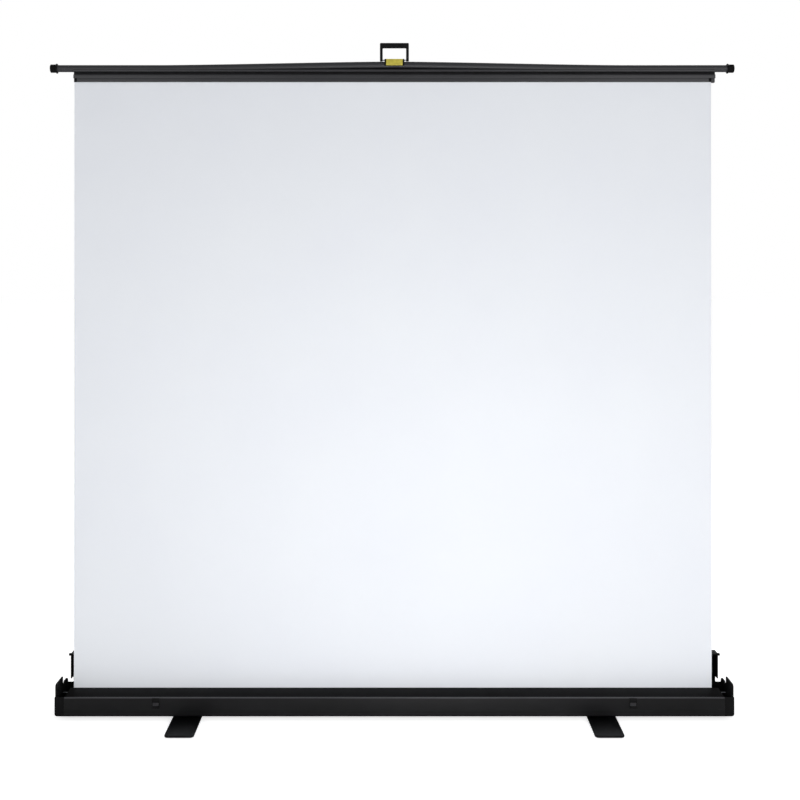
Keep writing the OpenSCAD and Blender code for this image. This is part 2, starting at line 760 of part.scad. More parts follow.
// Bracket over the middle of the tube: saddle, two lugs for the pin, a tilted front plate
label_y = tube_y - tube_d / 2 - 2;
module handle_bracket() {
    half = label_w / 2 + 5;
    color(dark) difference() {
        union() {
            block([-half, label_y, crown_z - 4], [half, label_y + 2, crown_z + tube_d / 2 + 6]);
            block([-half, label_y, crown_z + tube_d / 2 - 2], [half, tube_y + 5, crown_z + tube_d / 2 + 2]);
            for (s = [-1, 1]) block([s * (half - 2) - 2, tube_y - 5, crown_z + tube_d / 2], [s * (half - 2) + 2, tube_y + 5, bail_pin_z + 4]);
        }
        translate([-half - 1, tube_y, crown_z]) rotate([0, 90, 0]) cylinder(h = 2 * half + 2, d = tube_d + 1.3);
        rod_x(-half - 1, half + 1, bail_y, bail_pin_z, bail_pin_d);
    }
}
module label_plate() {
    color("#d6cc58") block([-label_w / 2, label_y - 1.2, crown_z + tube_d / 2 + 6 - label_h],
        [label_w / 2, label_y, crown_z + tube_d / 2 + 6]);
}
module handle_pin() {
    color(steel) rod_x(-bail_w / 2 + 0.5, bail_w / 2 - 0.5, bail_y, bail_pin_z, bail_pin_d);
}
module handle() {
    top = crown_z + tube_d / 2 + bail_h;
    color(black) difference() {
        union() {
            block([-bail_w / 2, bail_y - bail_t / 2, bail_pin_z], [bail_w / 2, bail_y + bail_t / 2, top]);
            for (s = [-1, 1]) rod_x(s < 0 ? -bail_w / 2 : bail_w / 2 - bail_leg, s < 0 ? bail_leg - bail_w / 2 : bail_w / 2, bail_y, bail_pin_z, bail_t);
        }
        block([bail_leg - bail_w / 2, bail_y - bail_t, bail_pin_z - bail_t], [bail_w / 2 - bail_leg, bail_y + bail_t, top - bail_bar]);
        rod_x(-bail_w, bail_w, bail_y, bail_pin_z, bail_pin_d + 2 * run_c);
    }
}

case_trough();
roller_deck();
slot_felt();
end_cap_left();
end_cap_right();
end_cap_screws();
roller_hanger_left();
roller_hanger_right();
spring_spindle();
base_bracket();
base_bracket_screws();
base_pins();
lid_pins();
catch_plate_left();
catch_plate_right();
catch_springs();
foot_pins();
foot_washers();
catch_button_left();
catch_button_right();
foot_left();
foot_right();
foot_pads_left();
foot_pads_right();
lid_panel();
lid_end_left();
lid_end_right();
lid_strikers();
roller_tube();
roller_plug_left();
roller_plug_right();
roller_spring();
screen_roll();
lower_arm_left();
lower_arm_right();
upper_arm_left();
upper_arm_right();
lower_gear_left();
lower_gear_right();
upper_gear_left();
upper_gear_right();
elbow_pin_left();
elbow_pin_right();
slat();
screen_clamp();
clamp_end_left();
clamp_end_right();
top_tube();
tube_plug_left();
tube_plug_right();
top_bracket();
top_pins();
handle_bracket();
label_plate();
handle_pin();
handle();
screen();
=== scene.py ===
import bpy, bmesh
from math import cos, pi, radians, sin
from mathutils import Matrix, Vector


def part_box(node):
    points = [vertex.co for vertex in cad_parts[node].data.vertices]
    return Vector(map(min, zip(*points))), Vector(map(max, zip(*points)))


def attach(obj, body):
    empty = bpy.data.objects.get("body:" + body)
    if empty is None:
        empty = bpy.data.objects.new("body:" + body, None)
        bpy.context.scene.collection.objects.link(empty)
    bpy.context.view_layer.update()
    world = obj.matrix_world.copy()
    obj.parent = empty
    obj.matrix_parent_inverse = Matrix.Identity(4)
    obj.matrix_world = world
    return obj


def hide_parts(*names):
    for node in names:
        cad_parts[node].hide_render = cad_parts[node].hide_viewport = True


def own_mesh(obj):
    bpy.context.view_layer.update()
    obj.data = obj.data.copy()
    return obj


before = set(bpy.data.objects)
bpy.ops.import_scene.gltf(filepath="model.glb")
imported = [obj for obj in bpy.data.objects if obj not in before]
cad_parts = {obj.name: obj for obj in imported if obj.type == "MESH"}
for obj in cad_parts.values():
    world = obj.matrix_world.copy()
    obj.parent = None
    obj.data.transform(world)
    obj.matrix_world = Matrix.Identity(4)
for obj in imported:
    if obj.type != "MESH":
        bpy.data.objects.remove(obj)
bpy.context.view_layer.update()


# Case: one aluminium extrusion, 2.03 m long, cut to length and anodised in satin black.
# It is a tray with rounded lower corners, a rolled front lip and a lower rear wall.
def linear(code):
    """An sRGB hex colour as linear numbers."""
    parts = [int(code[i:i + 2], 16) / 255 for i in (1, 3, 5)]
    return [c / 12.92 if c <= 0.04045 else ((c + 0.055) / 1.055) ** 2.4 for c in parts] + [1]


def node(owner, kind, sockets=None, **settings):
    """Adds one shader node. Settings are its own; sockets hold plain values or outputs to link."""
    made = owner.node_tree.nodes.new("ShaderNode" + kind)
    for name, value in settings.items():
        setattr(made, name, value)
    for name, value in (sockets or {}).items():
        if isinstance(value, bpy.types.NodeSocket):
            owner.node_tree.links.new(value, made.inputs[name])
        else:
            made.inputs[name].default_value = value
    return made


def tones(owner, value, low, high, start=0.3, end=0.7):
    """A ramp between two hex colours over part of a 0 to 1 value."""
    ramp = node(owner, "ValToRGB", {"Fac": value})
    for stop, place, code in zip(ramp.color_ramp.elements, (start, end), (low, high)):
        stop.position, stop.color = place, linear(code)
    return ramp.outputs["Color"]


def wire(owner, **links):
    """Links outputs to the shader's sockets, and sets plain values on them."""
    shader = owner.node_tree.nodes["Principled BSDF"]
    for name, value in links.items():
        socket = shader.inputs[name.replace("_", " ")]
        if isinstance(value, bpy.types.NodeSocket):
            owner.node_tree.links.new(value, socket)
        else:
            socket.default_value = value


def finish(name):
    """A new material and its object coordinates, which are metres in the shared frame."""
    made = bpy.data.materials.new(name)
    made.use_nodes = True
    return made, node(made, "TexCoord").outputs["Object"]


def between(owner, value, low, high):
    """A 0 to 1 value spread between two others, as a roughness is."""
    return node(owner, "MapRange", {"Value": value, "To Min": low, "To Max": high}).outputs["Result"]


def drawn(name, low, high, gloss, level):
    """Anodised extrusion: fine die lines run along X, under a soft cloudiness. Sizes are in mm."""
    die_line, stretch, clouding, relief = 0.5, 0.4, 180, 0.01
    made, place = finish(name)
    along = node(made, "Mapping", {"Vector": place, "Scale": (stretch, 1, 1)}).outputs["Vector"]
    lines = node(made, "TexNoise", {"Vector": along, "Scale": 1000 / die_line, "Detail": 2.0}).outputs["Fac"]
    cloud = node(made, "TexNoise", {"Vector": place, "Scale": 1000 / clouding, "Detail": 3.0}).outputs["Fac"]
    both = node(made, "Math", {0: lines, 1: cloud}, operation="ADD").outputs["Value"]
    half = node(made, "Math", {0: both, 1: 0.5}, operation="MULTIPLY").outputs["Value"]
    bump = node(made, "Bump", {"Height": lines, "Distance": relief / 1000}).outputs["Normal"]
    wire(made, Base_Color=tones(made, half, low, high), Roughness=between(made, cloud, *gloss),
         Normal=bump, Specular_IOR_Level=level)
    return made


# Satin black anodising: the front looks near black, with a thin grey sheen where it turns upward.
black_anodised = drawn("satin_black_anodising", "#0a0a0b", "#101012", (0.36, 0.46), 0.2)


def arc(y, z, radius, start, end, steps=6):
    """Points of an arc in (y, z), from a start angle to an end angle in degrees."""
    turns = [radians(start + (end - start) * i / steps) for i in range(steps + 1)]
    return [(y + radius * cos(a), z + radius * sin(a)) for a in turns]


def run(bm, outline, x0, x1):
    """A closed (y, z) outline in millimetres, run along X as an extrusion is."""
    ring = [bm.verts.new((x0 / 1000, y / 1000, z / 1000)) for y, z in outline]
    grown = bmesh.ops.extrude_face_region(bm, geom=[bm.faces.new(ring)])["geom"]
    moved = [v for v in grown if isinstance(v, bmesh.types.BMVert)]
    bmesh.ops.translate(bm, vec=((x1 - x0) / 1000, 0, 0), verts=moved)


def soften(bm, width, segments=2, over=40, where=None):
    """Rounds the edges that turn by more than an angle, by a width in millimetres."""
    bmesh.ops.recalc_face_normals(bm, faces=bm.faces)
    sharp = [e for e in bm.edges if len(e.link_faces) == 2 and e.calc_face_angle(0) > radians(over)
             and (where is None or all(where(v.co * 1000) for v in e.verts))]
    bmesh.ops.bevel(bm, geom=sharp, offset=width / 1000, offset_type="OFFSET", affect="EDGES",
                    segments=segments, profile=0.5, material=-1, clamp_overlap=True)


def piece(name, bm, look, slot, body, *nodes):
    """Makes the object on its body, in place of its CAD nodes."""
    bmesh.ops.recalc_face_normals(bm, faces=bm.faces)
    mesh = bpy.data.meshes.new(name)
    bm.to_mesh(mesh)
    bm.free()
    mesh.shade_smooth()
    mesh.set_sharp_from_angle(angle=radians(35))
    mesh.materials.append(look)
    made = bpy.data.objects.new(name, mesh)
    bpy.context.scene.collection.objects.link(made)
    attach(made, body)
    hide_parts(*nodes)
    return made


def corners(name):
    """The lowest and the highest corner of a CAD node at rest, in millimetres."""
    return [[round(c * 1000, 2) for c in corner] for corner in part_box(name)]


# The case's outer faces, its wall, its radii, the two rims turned in along it, and the heights of the
# groove under the lip, where the deck sits, and of the rear wall.
(_, case_front, case_floor), (half_case, case_rear, case_top) = corners("case_trough")
case_wall, outer_corner, inner_corner, lip_radius = 2.5, 5, 3, 4
rim, rim_depth = 2, 5.5
deck_seat, rear_edge = case_top - 3, case_top - 6


def lower_corners(inset, radius):
    """The case's two lower corners, front to rear, that far inside its outer face."""
    y0, y1, z = case_front + inset + radius, case_rear - inset - radius, case_floor + inset + radius
    return arc(y0, z, radius, 180, 270) + arc(y1, z, radius, 270, 360)


case = bmesh.new()
run(case, arc(case_front + lip_radius, case_top - lip_radius, lip_radius, 90, 180)
    + lower_corners(0, outer_corner)
    + [(case_rear, rear_edge), (case_rear - rim_depth, rear_edge),
       (case_rear - rim_depth, rear_edge - rim), (case_rear - case_wall, rear_edge - rim)]
    + lower_corners(case_wall, inner_corner)[::-1]
    + [(case_front + case_wall, deck_seat - rim), (case_front + rim_depth, deck_seat - rim),
       (case_front + rim_depth, deck_seat), (case_front + lip_radius, deck_seat)],
    -half_case, half_case)
soften(case, 0.4, 2, 60)
made = piece("case_extrusion", case, black_anodised, "black_anodised", "case", "case_trough")

# Painted highlight: the lip's top faces take a paler copy of the anodising, a thin light line over the
# front.
painted_highlight_z, painted_highlight_y = deck_seat + 0.4, case_front + lip_radius + 0.2
made.data.materials.append(drawn("lip_painted_highlight_anodising", "#2e2e31", "#424246", (0.3, 0.4), 0.4))
for face in made.data.polygons:
    face.material_index = int(face.center.z > painted_highlight_z / 1000 and face.center.y < painted_highlight_y / 1000)


# Deck: a thin black aluminium strip slid into the case behind the lip. It slopes back over the
# roller to a folded rear edge, so that the cloth comes up behind it. Its anodising is dull.
black_deck = drawn("dull_black_anodising", "#020203", "#050506", (0.6, 0.7), 0.05)
(_, _, deck_low), (_, deck_rear, deck_top) = corners("roller_deck")
deck_front, fold_front, strip = case_front + 3.5, deck_rear - 3, 2.1
deck = bmesh.new()
run(deck, [(deck_front, deck_low), (fold_front, deck_top - strip), (fold_front, deck_low),
           (deck_rear, deck_low), (deck_rear, deck_top), (deck_front, deck_low + strip)],
    -half_case, half_case)
soften(deck, 0.6, 3, 60)
piece("deck_strip", deck, black_deck, "black_deck", "case", "roller_deck")


# Felt: a needled black strip glued along the deck's rear edge. It wipes the cloth clean.
def felted(name):
    """A dense dull pile: specks of two blacks over a relief of half-millimetre tufts."""
    tuft, depth = 0.5, 0.2
    made, place = finish(name)
    pile = node(made, "TexVoronoi", {"Vector": place, "Scale": 1000 / tuft}).outputs["Distance"]
    bump = node(made, "Bump", {"Height": pile, "Distance": depth / 1000}).outputs["Normal"]
    wire(made, Base_Color=tones(made, pile, "#060606", "#121213", 0.1, 0.8), Roughness=0.95, Normal=bump,
         Specular_IOR_Level=0.15, Sheen_Weight=0.15)
    return made


def block(bm, low, high):
    """A box between two corners in millimetres."""
    size = Vector(high) - Vector(low)
    middle = (Vector(high) + Vector(low)) / 2000
    bmesh.ops.create_cube(bm, size=1, matrix=Matrix.LocRotScale(middle, None, size / 1000))


black_felt = felted("needled_black_felt")
felt = bmesh.new()
block(felt, *corners("slot_felt"))
soften(felt, 0.5, 3)
piece("slot_wiper", felt, black_felt, "black_felt", "case", "slot_felt")


# End caps: black glass-filled nylon mouldings that plug the ends of the case. Each has a sleeve in
# the case's section and a cheek that rises in front and is notched for the tube.
def moulded(name, low, high):
    """Spark-eroded plastic: an even fine grain that breaks up the shine."""
    grain, flow_mark, depth = 0.7, 40, 0.04
    made, place = finish(name)
    grit = node(made, "TexNoise", {"Vector": place, "Scale": 1000 / grain, "Detail": 3.0}).outputs["Fac"]
    flow = node(made, "TexNoise", {"Vector": place, "Scale": 1000 / flow_mark, "Detail": 1.0}).outputs["Fac"]
    bump = node(made, "Bump", {"Height": grit, "Distance": depth / 1000}).outputs["Normal"]
    wire(made, Base_Color=tones(made, grit, low, high), Roughness=between(made, flow, 0.48, 0.62),
         Normal=bump, Specular_IOR_Level=0.12)
    return made


def mirrored(bm):
    """Turns a right-hand piece into the left-hand one."""
    bmesh.ops.scale(bm, vec=(-1, 1, 1), verts=bm.verts)


black_moulding = moulded("eroded_black_nylon", "#040405", "#09090a")

# The cap's outer end, the cheek's top, inner face and front, and the radii of its corners.
cap_end, _, cheek_top = corners("end_cap_right")[1]
cheek_face, cheek_front, cheek_corner, cap_corner = cap_end - 5, case_front + 7, 9, 10

# The tube's axis, how far the folded frame lowers it, and the shoulder that its notch is cut into.
tube_y, tube_z, lift = 19, 2017.5, 1924
shoulder_z, shoulder_radius, notch_front, notch_radius = 87.5, 14, 5.5, 11.5
notch_angle = 31.4
cheek = (lower_corners(0, outer_corner)
         + arc(case_rear - shoulder_radius, shoulder_z - shoulder_radius, shoulder_radius, 0, 90)
         + arc(tube_y, tube_z - lift, notch_radius, -notch_angle, notch_angle - 180, 12)
         + [(notch_front, shoulder_z), (notch_front, cheek_top)]
         + arc(cheek_front + cheek_corner, cheek_top - cheek_corner, cheek_corner, 90, 180)
         + [(cheek_front, case_top), (case_front, case_top)])
sleeve = (lower_corners(0, outer_corner) + [(case_rear, case_top), (case_rear - case_wall, case_top)]
          + lower_corners(case_wall, inner_corner)[::-1]
          + [(case_front + case_wall, case_top), (case_front, case_top)])
corner_x, corner_z = cap_end - cap_corner, case_floor + cap_corner
cuts = ([((corner_x + along, 0, 0), (1, 0, 0)) for along in (1, 2.5, 4, 6, 7.5, 8.8)]
        + [((0, 0, corner_z - down), (0, 0, 1)) for down in (9.7, 9, 7.5, 6, 4, 2, 0)])
for side in ("left", "right"):
    cap = bmesh.new()
    run(cap, sleeve, half_case, cheek_face)
    run(cap, cheek, cheek_face, cap_end)

    # The lower outer corner is cut into strips, which are then pushed in to the radius.
    for place, across in cuts:
        bmesh.ops.bisect_plane(cap, geom=cap.verts[:] + cap.edges[:] + cap.faces[:],
                               plane_co=[c / 1000 for c in place], plane_no=across)
    for v in cap.verts:
        out = Vector((v.co.x - corner_x / 1000, 0, v.co.z - corner_z / 1000))
        if out.x > 0 > out.z and out.length > cap_corner / 1000:
            v.co += out.normalized() * cap_corner / 1000 - out
    soften(cap, 0.9, 3, 60, lambda p: p.x > cheek_face - 0.5 and p.z > corner_z + 2)
    if side == "left":
        mirrored(cap)
    piece("cap_" + side, cap, black_moulding, "black_moulding", "case", "end_cap_" + side)


# Cap screws: four zinc-plated screws with a low head and a socket, through each cheek into the plate
# that carries the roller.
def plated(name, low, high):
    """Bright zinc: a cool grey metal, clouded by its passivation, with fine scuffs."""
    clouding, scuffing, depth = 6, 0.4, 0.01
    made, place = finish(name)
    cloud = node(made, "TexNoise", {"Vector": place, "Scale": 1000 / clouding, "Detail": 3.0}).outputs["Fac"]
    scuff = node(made, "TexNoise", {"Vector": place, "Scale": 1000 / scuffing, "Detail": 2.0}).outputs["Fac"]
    bump = node(made, "Bump", {"Height": scuff, "Distance": depth / 1000}).outputs["Normal"]
    wire(made, Base_Color=tones(made, cloud, low, high), Metallic=1.0,
         Roughness=between(made, scuff, 0.26, 0.46), Normal=bump)
    return made


def lathe(bm, points, start, axis, segments=32):
    """Spins (radius, height) points about an axis: (0, 0, 1) stands them up from the start point."""
    turn = Vector(axis).to_track_quat("Z", "Y").to_matrix().to_4x4()
    place = Matrix.Translation(Vector(start) / 1000) @ turn
    line = [bm.verts.new(place @ Vector((r / 1000, 0, h / 1000))) for r, h in points]
    edges = [bm.edges.new(pair) for pair in zip(line, line[1:])]
    bmesh.ops.spin(bm, geom=line + edges, cent=Vector(start) / 1000, axis=turn @ Vector((0, 0, 1)),
                   angle=2 * pi, steps=segments, use_merge=True)
    bmesh.ops.remove_doubles(bm, verts=bm.verts, dist=1e-7)


def rod(bm, start, end, diameter, round_off=0.5):
    """A plain turned rod between two points, with its ends rounded off."""
    length, r = (Vector(end) - Vector(start)).length, diameter / 2
    lathe(bm, [(0, 0), (r - round_off, 0), (r, round_off), (r, length - round_off), (r - round_off, length),
               (0, length)], start, Vector(end) - Vector(start))


zinc_steel = plated("zinc_plated_steel", "#74787d", "#9a9ea3")

# Where the screws stand in (y, z), their radii, and the heights of the head over the inner end.
front_row, rear_row, low_row = case_front + 9, 6, case_floor + 12
screw_places = ((front_row, case_top - 9), (front_row, low_row),
                (rear_row, case_top - 14), (rear_row, low_row))
screw_start, shank, head, socket = half_case + 0.5, 2, 3.8, 1.9
head_top = cap_end + 0.9 - screw_start
seat, socket_floor = head_top - 1.5, head_top - 1.4
screw = [(0, 0), (shank, 0), (shank, seat), (head, seat), (head, head_top - 0.5),
         (head - 0.5, head_top), (socket, head_top), (socket - 0.2, socket_floor), (0, socket_floor)]
screws = bmesh.new()
for sign in (-1, 1):
    for y, z in screw_places:
        lathe(screws, screw, (sign * screw_start, y, z), (sign, 0, 0), 24)
piece("cap_screws", screws, zinc_steel, "zinc_steel", "case", "end_cap_screws")


# Catches: a black moulding on each side of the front wall, with a pocket for a ribbed button that is
# pushed down to free the lid. The buttons are grey nylon, so that they show against the pocket.
grey_moulding = moulded("eroded_grey_nylon", "#2c2c2e", "#3c3c3f")
pocket_margin, pocket_depth, rib, rib_pitch, stem = 2.5, 1.5, 1, 2.2, 8
for side in ("left", "right"):
    low, high = corners("catch_plate_" + side)
    middle_x, plate_back = (low[0] + high[0]) / 2, high[1]
    pocket_low, pocket_high = low[2] + 2, high[2] - 14
    plate = bmesh.new()
    block(plate, low, high)
    front = min(plate.faces, key=lambda f: f.calc_center_median().y)
    bmesh.ops.inset_region(plate, faces=[front], thickness=pocket_margin / 1000)
    for v in front.verts:
        v.co.z = (pocket_low if v.co.z < pocket_high / 1000 else pocket_high) / 1000
    pocket = bmesh.ops.extrude_discrete_faces(plate, faces=[front])["faces"]
    bmesh.ops.translate(plate, vec=(0, pocket_depth / 1000, 0), verts=pocket[0].verts)
    bmesh.ops.remove_doubles(plate, verts=plate.verts, dist=1e-6)
    soften(plate, 0.5, 2, 60)
    piece("catch_bezel_" + side, plate, black_moulding, "black_moulding", "case", "catch_plate_" + side)

    # The button is a plate with three ribs in front and a stem that goes back through the wall.
    low, high = corners("catch_button_" + side)
    button_face, button_back = low[1] + rib, plate_back - 0.4
    button = bmesh.new()
    block(button, (low[0], button_face, low[2]), (high[0], button_back, high[2]))
    block(button, (middle_x - stem / 2, button_back - 0.1, low[2] + 2),
          (middle_x + stem / 2, high[1], high[2]))
    for i in range(3):
        rib_low = low[2] + 1.8 + rib_pitch * i
        block(button, (low[0] + 1.5, low[1], rib_low), (high[0] - 1.5, button_face + 0.2, rib_low + rib))
    soften(button, 0.3, 2)
    piece("catch_slider_" + side, button, grey_moulding, "black_moulding", "button_" + side,
          "catch_button_" + side)


# Feet: flat bars of 6 mm steel with rounded corners, powder coated in black. Each turns on a pin
# through the floor of the case, over a nylon washer.
def coated(name, low, high):
    """Powder coat: a soft gloss over an orange peel of millimetre waves."""
    peel_wave, mottling, depth = 1.6, 25, 0.04
    made, place = finish(name)
    peel = node(made, "TexNoise", {"Vector": place, "Scale": 1000 / peel_wave, "Detail": 1.0}).outputs["Fac"]
    dust = node(made, "TexNoise", {"Vector": place, "Scale": 1000 / mottling, "Detail": 4.0}).outputs["Fac"]
    bump = node(made, "Bump", {"Height": peel, "Distance": depth / 1000}).outputs["Normal"]
    wire(made, Base_Color=tones(made, dust, low, high), Roughness=between(made, dust, 0.34, 0.5),
         Normal=bump, Specular_IOR_Level=0.12)
    return made


def slab(bm, outline, low, high, turn=None):
    """A closed (x, y) outline, raised between two heights. A turn stands it up elsewhere."""
    ring = [bm.verts.new((x / 1000, y / 1000, low / 1000)) for x, y in outline]
    grown = bmesh.ops.extrude_face_region(bm, geom=[bm.faces.new(ring)])["geom"]
    moved = [v for v in grown if isinstance(v, bmesh.types.BMVert)]
    bmesh.ops.translate(bm, vec=(0, 0, (high - low) / 1000), verts=moved)
    if turn:
        bmesh.ops.transform(bm, matrix=turn, verts=ring + moved)


def rounded(low, high, radius, steps=6):
    """A rectangle between two corners in (x, y), with its own corners rounded."""
    x0, y0, x1, y1 = low[0] + radius, low[1] + radius, high[0] - radius, high[1] - radius
    return (arc(x1, y1, radius, 0, 90, steps) + arc(x0, y1, radius, 90, 180, steps)
            + arc(x0, y0, radius, 180, 270, steps) + arc(x1, y0, radius, 270, 360, steps))


def rubbery(name):
    """Rubber: matt and slightly bloomed, so that it reads softer than the paint beside it."""
    blooming, depth = 9, 0.1
    made, place = finish(name)
    bloom = node(made, "TexNoise", {"Vector": place, "Scale": 1000 / blooming, "Detail": 5.0}).outputs["Fac"]
    bump = node(made, "Bump", {"Height": bloom, "Distance": depth / 1000}).outputs["Normal"]
    wire(made, Base_Color=tones(made, bloom, "#101011", "#1c1c1e"), Roughness=0.85, Normal=bump,
         Specular_IOR_Level=0.2)
    return made


black_paint = coated("black_powder_coat", "#020203", "#050506")
pad_rubber = rubbery("bloomed_black_rubber")
foot_corner, pad_corner, pad_depth = 12, 3, 30
for side in ("left", "right"):
    low, high = corners("foot_" + side)
    foot = bmesh.new()
    slab(foot, rounded(low, high, foot_corner), low[2], high[2])
    soften(foot, 1.2, 3, 60)
    piece("foot_bar_" + side, foot, black_paint, "black_paint", side + "_foot", "foot_" + side)
    low, high = corners("foot_pads_" + side)
    pads = bmesh.new()
    for front, rear in ((low[1], low[1] + pad_depth), (high[1] - pad_depth, high[1])):
        slab(pads, rounded((low[0], front), (high[0], rear), pad_corner, 4), low[2], high[2])
    soften(pads, 0.6, 2, 60)
    piece("rubber_pads_" + side, pads, pad_rubber, "pad_rubber", side + "_foot", "foot_pads_" + side)

# The washer sits between foot and case. The pin has a head under the foot and one on the case's floor.
(foot_inner, _, foot_under), (foot_outer, _, foot_top) = corners("foot_right")
foot_x, tray_floor = (foot_inner + foot_outer) / 2, case_floor + case_wall
washer_radius, washer_low, bore = 30, foot_top + 0.1, 4.1
washer = [(bore, washer_low), (washer_radius - 0.6, washer_low), (washer_radius, washer_low + 0.5),
          (washer_radius, case_floor - 0.6), (washer_radius - 0.6, case_floor), (bore, case_floor),
          (bore, washer_low)]
pin_radius, low_head, top_head = bore - 0.1, 9, 8
pin_low, pin_seat, pin_top = foot_under + 0.3, foot_under + 1.8, tray_floor + 3.5
foot_pin = [(0, pin_low), (low_head - 0.4, pin_low), (low_head, pin_low + 0.4), (low_head, pin_seat),
            (pin_radius, pin_seat), (pin_radius, tray_floor), (top_head, tray_floor),
            (top_head, pin_top - 1), (top_head - 1, pin_top), (0, pin_top)]
washers, pins = bmesh.new(), bmesh.new()
for sign in (-1, 1):
    lathe(washers, washer, (foot_x * sign, 0, 0), (0, 0, 1), 64)
    lathe(pins, foot_pin, (foot_x * sign, 0, 0), (0, 0, 1), 48)
piece("foot_slip_washers", washers, black_moulding, "black_moulding", "case", "foot_washers")
piece("foot_swivel_pins", pins, zinc_steel, "zinc_steel", "case", "foot_pins")


# Lid: a domed aluminium extrusion that turns back behind the case. The outlines are written for the
# shut lid and turned through a right angle about the hinge pins.
hinge_y, hinge_z = 48, 30
rim_z, crown_z, crown_radius = case_top + 1, case_top + 62, 26


def opened(outline):
    """The outline of the shut lid, as it stands open."""
    return [(hinge_y + z - hinge_z, hinge_z + hinge_y - y) for y, z in outline]


def crown(inset):
    """The curved top of the shut lid, front to rear, that far inside its outer face."""
    radius, z = crown_radius - inset, crown_z - crown_radius
    return (arc(case_front + crown_radius, z, radius, 180, 90, 12)
            + arc(case_rear - crown_radius, z, radius, 90, 0, 12))


def dome(wall):
    """The lid's section: a tray upside down, of that wall thickness."""
    return ([(case_front, rim_z)] + crown(0) + [(case_rear, rim_z), (case_rear - wall, rim_z)]
            + crown(wall)[::-1] + [(case_front + wall, rim_z)])


# The lid's front edge is turned in as a narrow rim, which the strikers stand on.
half_lid, lid_wall, lid_rim = corners("lid_panel")[1][0], 2, rim_z + 2
lid_face, rim_end = case_front + lid_wall, case_front + 6.5
lid = bmesh.new()
run(lid, opened(dome(lid_wall)[:-1] + [(lid_face, lid_rim), (rim_end, lid_rim), (rim_end, rim_z)]),
    -half_lid, half_lid)
soften(lid, 0.35, 2, 60)
piece("lid_extrusion", lid, black_anodised, "black_anodised", "lid", "lid_panel")


# Lid ends: black mouldings pressed into the lid. Each has a rim, a skin notched for the tube, an arm
# down to the hinge pin and an ear over the cap, by which the lid is lifted.
end_wall, lid_notch = 3, 14
skin_start, skin_end, arm_start = half_lid + 14, half_lid + 17, half_lid + 9
eye_radius, arm_top, ear_depth, ear_height = 8, rim_z + 3, 6, 9
skin = ([(case_front, rim_z)] + crown(0) + [(case_rear, rim_z), (tube_y + lid_notch, rim_z)]
        + arc(tube_y, tube_z - lift, lid_notch, 0, 180, 12) + [(tube_y - lid_notch, rim_z)])
hinge_arm = ([(hinge_y + eye_radius, arm_top), (hinge_y + eye_radius, hinge_z)]
             + arc(hinge_y, hinge_z, eye_radius, 0, -180, 12) + [(hinge_y - eye_radius, arm_top)])
ear = [(case_front, rim_z), (case_front, rim_z + ear_height),
       (case_front + ear_depth, rim_z + ear_height), (case_front + ear_depth, rim_z)]
for side in ("left", "right"):
    end = bmesh.new()
    run(end, opened(dome(end_wall)), half_lid, skin_start)
    run(end, opened(skin), skin_start, skin_end)
    run(end, opened(hinge_arm), arm_start, skin_end - 0.1)
    run(end, opened(ear), skin_end - 1, cap_end)
    soften(end, 0.7, 2, 60)
    if side == "left":
        mirrored(end)
    piece("lid_cap_" + side, end, black_moulding, "black_moulding", "lid", "lid_end_" + side)


# Strikers and hinge pins: zinc-plated steel. Each striker is a plate inside the lid's front edge,
# with a turned-in hook over its catch.
striker_low, hook_tip, half_striker = lid_rim + 0.2, lid_rim + 1.6, 8
striker_x = corners("lid_strikers")[1][0] - half_striker
pin_start, pin_end, hinge_pin = half_lid + 8, cap_end - 2, 8
striker = [(lid_face, striker_low), (lid_face, lid_rim + 15), (lid_face + 2, lid_rim + 15),
           (lid_face + 2, lid_rim + 3), (rim_end, hook_tip), (rim_end, striker_low)]
hooks, pins = bmesh.new(), bmesh.new()
for sign in (-1, 1):
    run(hooks, opened(striker), striker_x * sign - half_striker, striker_x * sign + half_striker)
    rod(pins, (pin_start * sign, hinge_y, hinge_z), (pin_end * sign, hinge_y, hinge_z), hinge_pin)
soften(hooks, 0.3, 2, 30)
piece("lid_hooks", hooks, zinc_steel, "zinc_steel", "lid", "lid_strikers")
piece("lid_hinge_pins", pins, zinc_steel, "zinc_steel", "case", "lid_pins")


# Lifting frame: four hollow aluminium arms, painted black, that fold as a diamond. Rounded ends turn
# on riveted pins, and steel gears let into the inner ends keep the two sides alike. The arms' length
# and the elbows' place follow from the lift and the slope at which the raised arms stand.
slope, gear_radius, pivot_low_z = 80, 15, 42
arm_length = round(lift / 2 / sin(radians(slope)), 2)
elbow_x = round(gear_radius + arm_length * cos(radians(slope)), 2)
pivot_high_z, elbow_z = pivot_low_z + lift, pivot_low_z + lift / 2
half_arm, arm_depth, gear_seat = 11, 5.5, 21
lower_y, upper_y = corners("lower_arm_right")[0][1], corners("upper_arm_right")[0][1]
levels = (("lower", pivot_low_z, slope, lower_y, (arm_depth / 2, arm_depth)),
          ("upper", pivot_high_z, -slope, upper_y, (0, arm_depth / 2)))


def arm(bm, z, angle, y, eye):
    """A bar from its pivot at that slope. The eye at the pivot keeps only part of the bar's depth."""
    place = (Matrix.Translation((gear_radius / 1000, y / 1000, z / 1000))
             @ Matrix.Rotation(radians(-angle), 4, "Y") @ Matrix.Rotation(radians(90), 4, "X"))
    slab(bm, [(gear_seat, -half_arm), (arm_length, -half_arm)]
         + arc(arm_length, 0, half_arm, -90, 90, 12)[1:-1]
         + [(arm_length, half_arm), (gear_seat, half_arm)], -arm_depth, 0, place)
    slab(bm, arc(0, 0, half_arm, 90, 270, 12) + [(gear_seat + 0.2, -half_arm), (gear_seat + 0.2, half_arm)],
         -eye[1], -eye[0], place)


